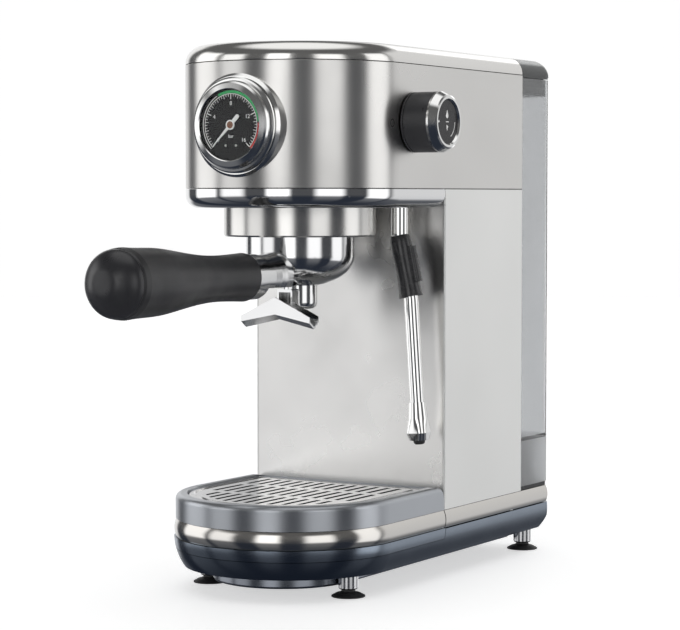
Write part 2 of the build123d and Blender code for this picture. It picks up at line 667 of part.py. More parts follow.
def wand_nozzle():
    """Bright faceted nozzle at the wand's end."""
    frame = tilt_along(WAND_PATH[2], WAND_PATH[3])
    start = 64.0
    neck = frame.offset(start) * Circle(WAND_TUBE_R + 0.7)
    waist = frame.offset(start + 10) * Circle(WAND_TUBE_R + 1.6)
    foot = frame.offset(start + 19) * RectangleRounded(13.6, 13.6, 4.2)
    end = frame.offset(start + 23.6) * RectangleRounded(11.4, 11.4, 4.6)
    nozzle = loft([neck, waist]) + loft([waist, foot]) + loft([foot, end])
    bore = extrude(frame.offset(start - 1) * Circle(WAND_TUBE_R + 0.1), 6)
    jet = extrude(frame.offset(start) * Circle(1.2), 30)
    return nozzle - bore - jet


def wand_tip():
    """Small black ball-end with the steam hole."""
    frame = tilt_along(WAND_PATH[2], WAND_PATH[3])
    seat = frame.offset(87.6)
    tip = extrude(seat * Circle(3.6), 2.6)
    tip = fillet(tip.edges().sort_by(Axis.Z)[0], 1.8)
    return tip - extrude(seat * Circle(0.9), 5)


# ---- Portafilter ----
def bowl_curve(radius_in, radius_out, depth, z_top):
    """Quarter ellipse from the bowl's straight side in to its flat bottom."""
    points = []
    for step in range(1, 5):
        angle = radians(22.5 * step)
        points.append((radius_in + (radius_out - radius_in) * cos(angle), 0, z_top - depth * sin(angle)))
    return Spline((radius_out, 0, z_top), *points, tangents=[(0, 0, -1), (-1, 0, 0)])


def portafilter_bowl():
    """Cast chrome bowl with its two locking lugs and the neck for the handle."""
    depth = BOWL_STRAIGHT_Z - BOWL_BOTTOM_Z
    outside = bowl_curve(6, BOWL_R, depth, BOWL_STRAIGHT_Z)
    solid = turned(
        Line((0, 0, BOWL_TOP_Z), (BOWL_R, 0, BOWL_TOP_Z)),
        Line((BOWL_R, 0, BOWL_TOP_Z), (BOWL_R, 0, BOWL_STRAIGHT_Z)),
        outside,
        Line((6, 0, BOWL_BOTTOM_Z), (0, 0, BOWL_BOTTOM_Z)),
        Line((0, 0, BOWL_BOTTOM_Z), (0, 0, BOWL_TOP_Z)),
    )
    neck = turned((0, 30), (14.4, 30), (14.2, 36), (13.5, 41), (13.0, 47), (12.8, 53.2), (0, 53.2))
    neck = Pos(0, 0, HANDLE_Z) * Rot(90, 0, 0) * neck
    neck -= block(-30, 30, -60, 0, 150, BOWL_BOTTOM_Z)
    lugs = (block(-LUG_R, LUG_R, -10, 10, 216.8, 221.8) & post(0, 0, 216, 222, LUG_R))
    bowl = solid + neck + lugs
    inner_r = 28.6
    cavity_z = 197.0
    bowl -= post(0, 0, cavity_z, BOWL_TOP_Z + 1, inner_r)
    bowl -= turned((0, 190), (14, 190), (22, 191.6), (26.6, 194), (inner_r, cavity_z), (0, cavity_z))
    bowl -= post(0, 0, 180, 191, 4.0)
    bowl -= rod_y(0, HANDLE_Z, -54, -41, STUD_R + 0.05)
    return Pos(0, FRONT_CENTRE_Y, 0) * bowl


def filter_basket():
    """Pressed steel coffee basket with a rolled rim and a perforated floor."""
    basket = turned((27.2, BOWL_TOP_Z), (31.2, BOWL_TOP_Z), (31.2, 224.8), (25.6, 224.8), (25.2, 199.4),
                    (24, 198.4), (0, 198.4), (0, 197.6), (24.6, 197.6), (26.2, 199.2), (26.6, 222.4))
    for ring_r, count in ((5, 6), (10, 12), (15, 18), (20, 24)):
        for step in range(count):
            angle = radians(360 * step / count)
            basket -= post(ring_r * cos(angle), ring_r * sin(angle), 197, 199, 0.7)
    return Pos(0, FRONT_CENTRE_Y, 0) * basket


def spout_stem():
    """Round outlet under the bowl with a short arm that leads forward to the spout."""
    stem = post(0, 0, SPOUT_FLOOR_Z, BOWL_BOTTOM_Z - 0.05, 10.4)
    stem = fillet(edges_at(stem, SPOUT_FLOOR_Z), 4)
    arm = block(-5.4, 5.4, SPOUT_BACK_Y - FRONT_CENTRE_Y, 0, SPOUT_FLOOR_Z, 182.5)
    arm = fillet([edge for edge in arm.edges().filter_by(Axis.Y) if edge.center().Z > 180], 1.5)
    stem += arm
    stem -= post(0, 0, 173, 186, 3.6)
    stem -= block(-4.2, 4.2, -18, 0, 171.6, 180.6)
    return Pos(0, FRONT_CENTRE_Y, 0) * stem


def channel_section(x, top, low, keel, inset):
    """V-bottomed section of the spout at one place along X."""
    front = SPOUT_FRONT_Y + inset
    back = SPOUT_BACK_Y - inset
    middle = (front + back) / 2
    lift = 1.5 * inset
    return make_face(Polyline((x, front, top), (x, front, low + inset), (x, middle, keel + lift),
                              (x, back, low + inset), (x, back, top), close=True))


def spout():
    """Two-way polished spout: an open V-bottomed channel that falls to both sides."""
    wall = 0.9

    def arm(inset, raise_top, reach):
        peak = channel_section(0, 178 + raise_top, 167.6, 164.4, inset)
        end = channel_section(SPOUT_HALF + reach, 166.4 + raise_top - 0.47 * reach, 162.8 - 0.2 * reach,
                              159 - 0.2 * reach, inset)
        return loft([peak, end], ruled=True)
    half_arm = arm(0, 0, 0) - arm(wall, 3, 2)
    trough = half_arm + mirror(half_arm, Plane.YZ)
    gate = block(-5.5, 5.5, SPOUT_BACK_Y - 1.2, SPOUT_BACK_Y + 1, 171.2, 183)
    return trough - gate


def handle_ferrule():
    """Chrome ring between the neck and the grip, with the stud that both are screwed on."""
    return turned_towards_front(0, HANDLE_Z, (0, -99.5), (STUD_R, -99.5), (STUD_R, -111.3), (13.0, -111.3),
                                (13.6, -112), (13.6, -123.2), (STUD_R, -123.2), (STUD_R, -172), (0, -172))


def handle_grip():
    """Long black grip, waisted behind the ferrule and swelling to its end."""
    side = Spline(*[(radius, 0, y) for radius, y in GRIP_PROFILE])
    grip = turned(
        Line((STUD_R + 0.2, 0, -123.5), (14.4, 0, -123.5)),
        side,
        Polyline((20.1, 0, -241), (19.7, 0, -245), (18.9, 0, -246.3), (0, 0, -246.3), (0, 0, -174),
                 (STUD_R + 0.2, 0, -174), (STUD_R + 0.2, 0, -123.5)),
    )
    return Pos(0, 0, HANDLE_Z) * Rot(-90, 0, 0) * grip


def handle_end_cap():
    """Domed button in the end of the grip."""
    dome = turned(
        Line((0, 0, -246.4), (18.9, 0, -246.4)),
        Line((18.9, 0, -246.4), (19.3, 0, -247.2)),
        Spline((19.3, 0, -247.2), (17.2, 0, -252.2), (10.5, 0, -257.2), (0, 0, HANDLE_END_Y),
               tangents=[(-0.1, 0, -1), (-1, 0, 0)]),
        Line((0, 0, HANDLE_END_Y), (0, 0, -246.4)),
    )
    return Pos(0, 0, HANDLE_Z) * Rot(-90, 0, 0) * dome


# ---- Water tank ----
def tank_block(inset, z0, z1):
    """Upright block with the tank's outline: square front, rounded back corners."""
    half = BODY_HALF - 0.4 - inset
    front = COLUMN_BACK_Y + 0.4 + inset
    back = BACK_Y - inset
    solid = block(-half, half, front, back, z0, z1)
    corners = [edge for edge in solid.edges().filter_by(Axis.Z) if edge.center().Y > back - 1]
    return fillet(corners, max(REAR_CORNER_R - inset, 0.8))


def hinge_ears(y_front, y_back, z0, radius, half):
    """Two upright ears on the tank's back edge, rounded at the top."""
    ear = block(-half, half, y_front, y_back, z0, HINGE_Z)
    ear += rod_x(HINGE_Y, HINGE_Z, -half, half, radius)
    return [Pos(side * HINGE_X, 0, 0) * ear for side in (-1, 1)]


def water_tank():
    """Smoked clear tank with a raised floor, skirt, valve cage and two lid ears."""
    tank = tank_block(0, TANK_Z + 0.4, TANK_TOP_Z)
    tank -= tank_block(TANK_WALL, TANK_FLOOR_Z + 2.6, TANK_TOP_Z + 1)
    tank -= tank_block(TANK_WALL, TANK_Z - 1, TANK_FLOOR_Z)
    cage = post(VALVE_X, VALVE_Y, TANK_FLOOR_Z + 1, 93, 9.5) - post(VALVE_X, VALVE_Y, TANK_FLOOR_Z, 91.6, 8)
    for y in (-1, 1):
        cage -= block(VALVE_X - 4, VALVE_X + 4, VALVE_Y + 4 * y - 6, VALVE_Y + 4 * y + 6, 80.5, 90)
    cage -= block(VALVE_X - 12, VALVE_X + 12, VALVE_Y - 4, VALVE_Y + 4, 80.5, 90)
    tank += cage
    tank -= post(VALVE_X, VALVE_Y, TANK_FLOOR_Z - 1, TANK_FLOOR_Z + 4, 5)
    for ear in hinge_ears(BACK_Y - TANK_WALL, BACK_Y - 0.1, TANK_TOP_Z - 6, 1.4, EAR_HALF):
        tank += ear
    return tank - rod_x(HINGE_Y, HINGE_Z, -40, 40, 0.8)


def lid_hinge_pins():
    """Two short pins through the ears; the lid turns on them."""
    pin = rod_x(HINGE_Y, HINGE_Z, -EAR_HALF - 3, EAR_HALF + 3, 0.7)
    return group(Pos(side * HINGE_X, 0, 0) * pin for side in (-1, 1))


def tank_lid():
    """Smoked lid that carries on the top cover's rounded shape."""
    z0 = TANK_TOP_Z + 0.6
    front = COLUMN_BACK_Y + 0.4
    full = cap_block(0) & block(-90, 90, front, 160, CAP_Z, TOP_Z + 1)
    full += tank_block(0, z0, CAP_Z)
    hollow = cap_block(2.2) & block(-90, 90, front + 2.2, 160, CAP_Z - 0.1, TOP_Z)
    hollow += tank_block(2.2, z0 - 1, CAP_Z)
    lid = full - hollow
    flange = tank_block(TANK_WALL + 0.7, 306, CAP_Z + 3) - tank_block(TANK_WALL + 2.3, 305, CAP_Z + 4)
    flange &= rod_x(HINGE_Y, HINGE_Z, -80, 80, HINGE_Y - COLUMN_BACK_Y - TANK_WALL - 0.9)
    link = tank_block(2.1, CAP_Z + 1.5, CAP_Z + 3) - tank_block(TANK_WALL + 2.3, CAP_Z, CAP_Z + 4)
    lid += flange + link
    for side in (-1, 1):
        x = side * HINGE_X
        slot = block(x - EAR_HALF - 0.5, x + EAR_HALF + 0.5, HINGE_Y - 2.2, BACK_Y + 2, z0 - 1, HINGE_Z + 2.2)
        bosses = block(x - EAR_HALF - 3.4, x + EAR_HALF + 3.4, HINGE_Y - 1.6, BACK_Y - 0.6, z0, HINGE_Z + 3)
        lid += bosses - slot
        lid -= slot
    lid -= rod_x(HINGE_Y, HINGE_Z, -HINGE_X - 7.3, HINGE_X + 7.3, 0.75)
    back_edge = block(-BODY_HALF, BODY_HALF, BACK_Y - 1.2, BACK_Y + 1, z0 - 1, z0 + 0.8)
    return lid - back_edge


def tank_valve():
    """Valve plug, held up off its seat by the pin in the dock."""
    plug = turned((0, 73.6), (3, 73.6), (3, 80.6), (6.8, 80.6), (6.8, 82.2), (2, 83), (2, 86), (0, 86))
    return Pos(VALVE_X, VALVE_Y, 0) * plug


def valve_spring():
    """Coil spring over the plug."""
    coil = Helix(pitch=2.1, height=7.2, radius=4.4)
    start = Plane(origin=coil @ 0, z_dir=coil % 0)
    wire = sweep(start * Circle(0.35), path=coil, is_frenet=True)
    return Pos(VALVE_X, VALVE_Y, 83.6) * wire


# ---- Drip tray ----
def side_outline(back_corner_r, z0, z1):
    """Block over the tray's length with its upper back corner rounded."""
    solid = block(-90, 90, -160, TRAY_BACK_Y, z0, z1)
    corner = [edge for edge in solid.edges().filter_by(Axis.X)
              if edge.center().Y > -2 and edge.center().Z > z1 - 1]
    return fillet(corner, back_corner_r)


def tray_basin():
    """Dark basin that catches the drips; its foot carries on the base's curve."""
    foot = base_body(0, TRAY_Z + SEAM, GROOVE_Z, BACK_Y) & block(-90, 90, -160, TRAY_BACK_Y, 20, 60)
    upper = round_front_block(66.8, BASE_CENTRE_Y, TRAY_BACK_Y - 3.4, GROOVE_Z, 55.2)
    basin = foot + upper
    basin -= round_front_block(60.5, BASE_CENTRE_Y, TRAY_BACK_Y - 9, TRAY_Z + 3.5, 60)
    basin -= round_front_block(62.9, BASE_CENTRE_Y, TRAY_BACK_Y - 6.6, 53.9, 60)
    return basin


def tray_shell():
    """Satin cover round the tray with a rolled top rim."""
    outer = round_front_block(BODY_HALF, BASE_CENTRE_Y, TRAY_BACK_Y, BAND_TOP_Z + SEAM, TRAY_TOP_Z)
    top_rim = [edge for edge in edges_at(outer, TRAY_TOP_Z) if edge.center().Y < TRAY_BACK_Y - 1]
    outer = fillet(top_rim, 3.2)
    outer &= side_outline(9, 30, TRAY_TOP_Z)
    shell = outer - round_front_block(67.0, BASE_CENTRE_Y, TRAY_BACK_Y - 3.2, 30, 55.4)
    shell -= round_front_block(63.0, BASE_CENTRE_Y, TRAY_BACK_Y - 6.6, 50, 60)
    return shell


def tray_band():
    """Bright convex trim round the tray."""
    return band_ring() & block(-90, 90, -160, TRAY_BACK_Y, 0, 60)


def drip_grid():
    """Polished slotted grid on the tray."""
    half = 62.4
    plate = round_front_block(half, BASE_CENTRE_Y, TRAY_BACK_Y - 7.2, 54.2, 57.0)
    plate = fillet(edges_at(plate, 57.0), 1.2)
    plate -= round_front_block(half - 1.6, BASE_CENTRE_Y, TRAY_BACK_Y - 8.8, 53, 55.6)
    plate -= (round_front_block(half - 3, BASE_CENTRE_Y, TRAY_BACK_Y - 10.2, 56.4, 58)
              - round_front_block(half - 7, BASE_CENTRE_Y, TRAY_BACK_Y - 14.2, 56, 59))
    field = round_front_block(half - 11, BASE_CENTRE_Y, TRAY_BACK_Y - 17, 50, 60)
    slots = []
    for column in range(-6, 7):
        for row in range(3):
            y = BASE_CENTRE_Y - 34 + 38 * row
            slots.append(block(8 * column - 1.6, 8 * column + 1.6, y - 16, y + 16, 50, 60))
    for slot in slots:
        cut = slot & field
        if cut.volume > 400:
            plate -= cut
    return plate


PIECES = {
    "base_tub": base_tub,
    "base_band": base_band,
    "bottom_plate": bottom_plate,
    "casing_screws": casing_screws,
    "foot_stems": foot_stems,
    "suction_feet": suction_feet,
    "cord_gland": cord_gland,
    "backsplash": backsplash,
    "left_side_panel": lambda: side_panel(-1),
    "right_side_panel": lambda: side_panel(1),
    "rear_wall": rear_wall,
    "head_shell": head_shell,
    "top_cover": top_cover,
    "head_tray": head_tray,
    "chassis": chassis,
    "boiler": boiler,
    "group_collar": group_collar,
    "group_gasket": group_gasket,
    "shower_screen": shower_screen,
    "screen_screw": screen_screw,
    "pump": pump,
    "pump_mounts": pump_mounts,
    "solenoid_valve": solenoid_valve,
    "selector_switch": selector_switch,
    "control_board": control_board,
    "suction_hose": suction_hose,
    "pressure_hose": pressure_hose,
    "steam_pipe": steam_pipe,
    "gauge_capillary": gauge_capillary,
    "tank_dock": tank_dock,
    "gauge_case": gauge_case,
    "gauge_collar": gauge_collar,
    "gauge_bezel": gauge_bezel,
    "gauge_dial": gauge_dial,
    "gauge_glass": gauge_glass,
    "gauge_needle": gauge_needle,
    "knob_body": knob_body,
    "knob_ring": knob_ring,
    "knob_face": knob_face,
    "wand_socket": wand_socket,
    "wand_tube": wand_tube,
    "wand_grip": wand_grip,
    "wand_nozzle": wand_nozzle,
    "wand_tip": wand_tip,
    "portafilter_bowl": portafilter_bowl,
    "filter_basket": filter_basket,
    "spout_stem": spout_stem,
    "spout": spout,
    "handle_ferrule": handle_ferrule,
    "handle_grip": handle_grip,
    "handle_end_cap": handle_end_cap,
    "water_tank": water_tank,
    "lid_hinge_pins": lid_hinge_pins,
    "tank_lid": tank_lid,
    "tank_valve": tank_valve,
    "valve_spring": valve_spring,
    "tray_basin": tray_basin,
    "tray_shell": tray_shell,
    "tray_band": tray_band,
    "drip_grid": drip_grid,
}

os.makedirs("parts", exist_ok=True)
for piece_name, make_piece in PIECES.items():
    save(piece_name, make_piece())
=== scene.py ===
"""Looks of the compact espresso machine, piece by piece in the order it is put together."""
from math import cos, pi, radians, sin

import bmesh
import bpy
from mathutils import Matrix, Vector


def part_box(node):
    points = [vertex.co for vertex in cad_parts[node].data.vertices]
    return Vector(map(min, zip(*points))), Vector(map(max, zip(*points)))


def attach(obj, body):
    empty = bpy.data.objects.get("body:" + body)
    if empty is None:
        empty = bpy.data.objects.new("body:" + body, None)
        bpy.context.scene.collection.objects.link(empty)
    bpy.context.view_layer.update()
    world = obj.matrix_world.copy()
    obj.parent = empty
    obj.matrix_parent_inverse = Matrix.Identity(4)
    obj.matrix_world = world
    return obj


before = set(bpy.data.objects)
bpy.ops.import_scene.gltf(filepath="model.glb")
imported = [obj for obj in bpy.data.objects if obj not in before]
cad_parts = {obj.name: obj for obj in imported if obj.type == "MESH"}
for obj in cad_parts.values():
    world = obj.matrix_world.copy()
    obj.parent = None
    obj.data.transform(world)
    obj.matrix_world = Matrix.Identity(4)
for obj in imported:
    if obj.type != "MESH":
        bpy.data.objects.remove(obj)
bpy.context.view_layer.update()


# ---- Lower shell of the base ----
# A moulded shell in dark metallic lacquer: floor, tucked-in walls and the deck under the drip tray.
# The lacquer carries a fine flake and a slightly uneven gloss from handling.
NOISE_LOW = 0.3             # most of a noise pattern's values lie between these two
NOISE_HIGH = 0.7


def start_material(name, colour, roughness, metallic=0.0):
    """New node material with the values that are the same all over."""
    material = bpy.data.materials.new(name)
    material.use_nodes = True
    shader = material.node_tree.nodes["Principled BSDF"]
    shader.inputs["Base Color"].default_value = (*colour, 1.0)
    shader.inputs["Roughness"].default_value = roughness
    shader.inputs["Metallic"].default_value = metallic
    return material, shader


def pattern(material, per_metre, stretch=(1, 1, 1), detail=3.0):
    """Noise fixed to the piece, with so many features to the metre, drawn out along any axis."""
    nodes, links = material.node_tree.nodes, material.node_tree.links
    place = nodes.new("ShaderNodeTexCoord")
    mapping = nodes.new("ShaderNodeMapping")
    noise = nodes.new("ShaderNodeTexNoise")
    mapping.inputs["Scale"].default_value = stretch
    noise.inputs["Scale"].default_value = per_metre
    noise.inputs["Detail"].default_value = detail
    links.new(place.outputs["Object"], mapping.inputs["Vector"])
    links.new(mapping.outputs["Vector"], noise.inputs["Vector"])
    return noise.outputs["Fac"]


def vary_gloss(material, shader, source, smooth, rough):
    """Roughness that follows a pattern."""
    nodes, links = material.node_tree.nodes, material.node_tree.links
    spread = nodes.new("ShaderNodeMapRange")
    spread.inputs["From Min"].default_value = NOISE_LOW
    spread.inputs["From Max"].default_value = NOISE_HIGH
    spread.inputs["To Min"].default_value = smooth
    spread.inputs["To Max"].default_value = rough
    links.new(source, spread.inputs["Value"])
    links.new(spread.outputs["Result"], shader.inputs["Roughness"])


def vary_colour(material, shader, source, dark, light):
    """Colour that follows a pattern."""
    nodes, links = material.node_tree.nodes, material.node_tree.links
    ramp = nodes.new("ShaderNodeValToRGB")
    ramp.color_ramp.elements[0].position = NOISE_LOW
    ramp.color_ramp.elements[1].position = NOISE_HIGH
    ramp.color_ramp.elements[0].color = (*dark, 1.0)
    ramp.color_ramp.elements[1].color = (*light, 1.0)
    links.new(source, ramp.inputs["Fac"])
    links.new(ramp.outputs["Color"], shader.inputs["Base Color"])


def add_relief(material, shader, source, depth, before=None):
    """Bump from a pattern, depth in metres. A second relief goes on top of the first."""
    nodes, links = material.node_tree.nodes, material.node_tree.links
    bump = nodes.new("ShaderNodeBump")
    bump.inputs["Distance"].default_value = depth
    links.new(source, bump.inputs["Height"])
    if before is not None:
        links.new(before.outputs["Normal"], bump.inputs["Normal"])
    links.new(bump.outputs["Normal"], shader.inputs["Normal"])
    return bump


def dress(material, *nodes):
    """Give CAD nodes their finish."""
    for node in nodes:
        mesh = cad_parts[node].data
        mesh.materials.clear()
        mesh.materials.append(material)


lacquer, shader = start_material("dark_lacquer", (0.30, 0.34, 0.40), 0.2, 1.0)
vary_gloss(lacquer, shader, pattern(lacquer, 40, detail=5), 0.17, 0.24)
vary_colour(lacquer, shader, pattern(lacquer, 3200, detail=1), (0.22, 0.26, 0.31), (0.29, 0.33, 0.39))
dress(lacquer, "base_tub", "tray_basin")


# ---- Plate, screws and entry bush under the base ----
# A pressed dark plate closes the base from below with four pan-head screws.
# The rubber bush at the back holds the mains lead.
pressed_plate, shader = start_material("pressed_plate", (0.30, 0.32, 0.36), 0.22, 1.0)
vary_gloss(pressed_plate, shader, pattern(pressed_plate, 60, detail=4), 0.18, 0.28)
add_relief(pressed_plate, shader, pattern(pressed_plate, 1500), 8e-6)
dress(pressed_plate, "bottom_plate")

plated_screw, shader = start_material("plated_screw", (0.62, 0.62, 0.60), 0.3, 1.0)
vary_gloss(plated_screw, shader, pattern(plated_screw, 900), 0.22, 0.42)
dress(plated_screw, "casing_screws", "screen_screw", "lid_hinge_pins", "valve_spring")

black_rubber, shader = start_material("black_rubber", (0.018, 0.018, 0.02), 0.55)
vary_gloss(black_rubber, shader, pattern(black_rubber, 260, detail=5), 0.42, 0.68)
vary_colour(black_rubber, shader, pattern(black_rubber, 120, detail=4),
            (0.012, 0.012, 0.013), (0.03, 0.03, 0.032))
add_relief(black_rubber, shader, pattern(black_rubber, 2400), 1.2e-5)
dress(black_rubber, "cord_gland", "suction_feet", "wand_tip", "group_gasket", "pump_mounts")


# ---- Feet ----
# Four turned steel stems pressed into the base, each with a rubber suction cup.
turned_steel, shader = start_material("turned_steel", (0.55, 0.55, 0.56), 0.16, 1.0)
vary_gloss(turned_steel, shader, pattern(turned_steel, 60, (1, 1, 60)), 0.12, 0.24)
dress(turned_steel, "foot_stems")


# ---- Moulded frame and the works inside ----
# The black frame carries the pump, heating block, valve, switch and board. These only show
# when a cover is off, but each has the finish of the real part.
black_moulding, shader = start_material("black_moulding", (0.025, 0.025, 0.027), 0.5)
vary_gloss(black_moulding, shader, pattern(black_moulding, 300, detail=4), 0.42, 0.58)
vary_colour(black_moulding, shader, pattern(black_moulding, 90, detail=5),
            (0.02, 0.02, 0.022), (0.035, 0.035, 0.037))
add_relief(black_moulding, shader, pattern(black_moulding, 1800), 1.5e-5)
dress(black_moulding, "chassis", "tank_dock", "rear_wall", "gauge_case", "wand_socket", "selector_switch",
      "tank_valve")

cast_metal, shader = start_material("cast_metal", (0.56, 0.56, 0.57), 0.45, 1.0)
vary_gloss(cast_metal, shader, pattern(cast_metal, 500, detail=6), 0.38, 0.6)
add_relief(cast_metal, shader, pattern(cast_metal, 900, detail=5), 6e-5)
dress(cast_metal, "boiler")

zinc_plate, shader = start_material("zinc_plate", (0.42, 0.42, 0.40), 0.35, 1.0)
vary_colour(zinc_plate, shader, pattern(zinc_plate, 240, detail=5), (0.34, 0.34, 0.33), (0.5, 0.49, 0.46))
vary_gloss(zinc_plate, shader, pattern(zinc_plate, 400), 0.28, 0.45)
dress(zinc_plate, "pump", "solenoid_valve")

board_lacquer, shader = start_material("board_lacquer", (0.02, 0.14, 0.06), 0.3)
vary_colour(board_lacquer, shader, pattern(board_lacquer, 350, detail=2),
            (0.015, 0.10, 0.045), (0.03, 0.19, 0.09))
add_relief(board_lacquer, shader, pattern(board_lacquer, 500), 5e-5)
dress(board_lacquer, "control_board")

clear_silicone, shader = start_material("clear_silicone", (0.80, 0.79, 0.74), 0.3)
shader.inputs["Transmission Weight"].default_value = 0.6
shader.inputs["IOR"].default_value = 1.41
vary_gloss(clear_silicone, shader, pattern(clear_silicone, 300), 0.22, 0.4)
dress(clear_silicone, "suction_hose", "pressure_hose")

drawn_copper, shader = start_material("drawn_copper", (0.80, 0.45, 0.28), 0.25, 1.0)
vary_colour(drawn_copper, shader, pattern(drawn_copper, 200, detail=5),
            (0.66, 0.34, 0.20), (0.85, 0.50, 0.32))
vary_gloss(drawn_copper, shader, pattern(drawn_copper, 300), 0.18, 0.38)
dress(drawn_copper, "steam_pipe", "gauge_capillary")


# ---- Front plate and side sheets of the column ----
# Stainless sheet, ground with a fine belt and folded. The grinding lines run level,
# so reflections stretch up and down; hands leave faint smudges.
def brush(material, shader, level, rough, blur_turn=0.25, smudge=0.05, depth=2.0e-6):
    """Level grinding lines with a few deeper ones, and smudges that dull the sheen a little."""
    lines = pattern(material, 1.0, (12, 12, level), detail=2)
    bump = add_relief(material, shader, lines, depth)
    add_relief(material, shader, pattern(material, 2600, detail=1), depth * 0.4, before=bump)
    vary_gloss(material, shader, pattern(material, 14, detail=4), rough - smudge, rough + smudge)
    shader.inputs["Anisotropic"].default_value = 0.75
    shader.inputs["Anisotropic Rotation"].default_value = blur_turn


satin_sheet, shader = start_material("satin_sheet", (0.93, 0.92, 0.90), 0.3, 1.0)
brush(satin_sheet, shader, 2200, 0.30)
dress(satin_sheet, "backsplash")

# Painted light: the side sheets are the same stainless as the head, but their colour is set lighter than the
# head sheet's. The lighter colour stands in for the bright light they mirror.
lit_side_sheet, shader = start_material("lit_side_sheet", (0.92, 0.92, 0.90), 0.4, 1.0)
brush(lit_side_sheet, shader, 2600, 0.40, smudge=0.03)
dress(lit_side_sheet, "left_side_panel", "right_side_panel")


# ---- Brewing group ----
# A machined ring with the bayonet groove, the seal, and the shower screen with its screw.
turned_ring, shader = start_material("turned_ring", (0.72, 0.71, 0.69), 0.28, 1.0)
brush(turned_ring, shader, 3000, 0.26)
dress(turned_ring, "group_collar")

pressed_steel, shader = start_material("pressed_steel", (0.66, 0.66, 0.65), 0.2, 1.0)
vary_gloss(pressed_steel, shader, pattern(pressed_steel, 120, detail=5), 0.15, 0.3)
dress(pressed_steel, "shower_screen", "filter_basket")


# ---- Head shell ----
# One wrap of brushed stainless sheet bent round the head, cut out for the gauge and the knob.
head_sheet, shader = start_material("head_sheet", (0.72, 0.71, 0.69), 0.32, 1.0)
brush(head_sheet, shader, 2600, 0.31)
dress(head_sheet, "head_shell")


# ---- Dish under the head and the top cover ----
# Deep-drawn and polished. The cover is a little softer than the dish, from wiping.
mirror_polish, shader = start_material("mirror_polish", (0.80, 0.80, 0.80), 0.06, 1.0)
vary_gloss(mirror_polish, shader, pattern(mirror_polish, 18, detail=5), 0.045, 0.085)
dress(mirror_polish, "head_tray")

cover_polish, shader = start_material("cover_polish", (0.76, 0.75, 0.73), 0.13, 1.0)
vary_gloss(cover_polish, shader, pattern(cover_polish, 16, detail=5), 0.11, 0.16)
add_relief(cover_polish, shader, pattern(cover_polish, 1.0, (10, 10, 2400)), 1e-6)
dress(cover_polish, "top_cover")


# ---- Pressure gauge ----
# A black case with a printed dial, a white needle on a brown hub, a thin glass, a stepped
# chrome bezel, and a chrome seat that meets the round front. The marks are thin raised print.
MM = 0.001
PRINT = 0.06 * MM           # thickness of printed marks
SCALE_ENDS = (-135, 135)    # clock angles of the scale's two ends, in degrees from the top
TICKS = 48
TICK_R = 18.0 * MM          # outer ends of the ticks
BAND_R = 19.4 * MM          # middle of the coloured bands
BAND_WIDTH = 1.5 * MM
FIGURE_R = 12.6 * MM
PIN_R = 0.8 * MM

ring_chrome, shader = start_material("ring_chrome", (0.80, 0.80, 0.79), 0.1, 1.0)
vary_gloss(ring_chrome, shader, pattern(ring_chrome, 90, detail=5), 0.08, 0.14)
dress(ring_chrome, "gauge_collar", "gauge_bezel")

dial_print, shader = start_material("dial_print", (0.006, 0.006, 0.007), 0.4)
shader.inputs["Specular IOR Level"].default_value = 0.2
vary_gloss(dial_print, shader, pattern(dial_print, 120), 0.36, 0.44)
vary_colour(dial_print, shader, pattern(dial_print, 400), (0.005, 0.005, 0.006), (0.007, 0.007, 0.008))
dress(dial_print, "gauge_dial")

clear_glass, shader = start_material("clear_glass", (0.96, 0.97, 0.97), 0.0)
shader.inputs["Transmission Weight"].default_value = 1.0
shader.inputs["IOR"].default_value = 1.2
dress(clear_glass, "gauge_glass")

white_enamel, shader = start_material("white_enamel", (0.85, 0.85, 0.83), 0.4)
vary_colour(white_enamel, shader, pattern(white_enamel, 900), (0.80, 0.80, 0.78), (0.88, 0.88, 0.86))
dress(white_enamel, "gauge_needle")


def finished(name, bm, material, body):
    """Turn a bmesh into a piece that rides on a body."""
    bmesh.ops.remove_doubles(bm, verts=bm.verts, dist=1e-7)
    bmesh.ops.recalc_face_normals(bm, faces=bm.faces)
    mesh = bpy.data.meshes.new(name)
    bm.to_mesh(mesh)
    bm.free()
    piece = bpy.data.objects.new(name, mesh)
    bpy.context.scene.collection.objects.link(piece)
    mesh.materials.append(material)
    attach(piece, body)
    return piece


dial_low, dial_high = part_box("gauge_dial")
dial_centre = Vector(((dial_low.x + dial_high.x) / 2, dial_low.y, (dial_low.z + dial_high.z) / 2))


def on_dial(clock_deg, radius, lift=0.0):
    """Place on the dial's face; the angle runs clockwise from the top, seen from the front."""
    turn = Matrix.Rotation(radians(clock_deg), 4, "Y")
    return Matrix.Translation(dial_centre + Vector((0, -lift, 0))) @ turn @ Matrix.Translation((0, 0, radius))


def printed_arc(bm, radius, width, start_deg, end_deg):
    """Flat printed band along the scale."""
    first = on_dial(start_deg, radius - width / 2, PRINT / 2)
    last = on_dial(start_deg, radius + width / 2, PRINT / 2)
    ends = [bm.verts.new(first.translation), bm.verts.new(last.translation)]
    edge = bm.edges.new(ends)
    bmesh.ops.spin(bm, geom=[edge, *ends], cent=dial_centre, axis=(0, 1, 0),
                   angle=radians(end_deg - start_deg), steps=int((end_deg - start_deg) / 3))
    faces = [face for face in bm.faces if face.is_valid and not face.tag]
    bmesh.ops.solidify(bm, geom=faces, thickness=PRINT / 2)
    for face in bm.faces:
        face.tag = True


def printed_bar(bm, clock_deg, radius, length, width):
    """Printed mark that points at the middle of the dial."""
    bmesh.ops.create_cube(bm, size=1.0, matrix=on_dial(clock_deg, radius, PRINT / 2)
                          @ Matrix.Diagonal((width, PRINT, length, 1)))


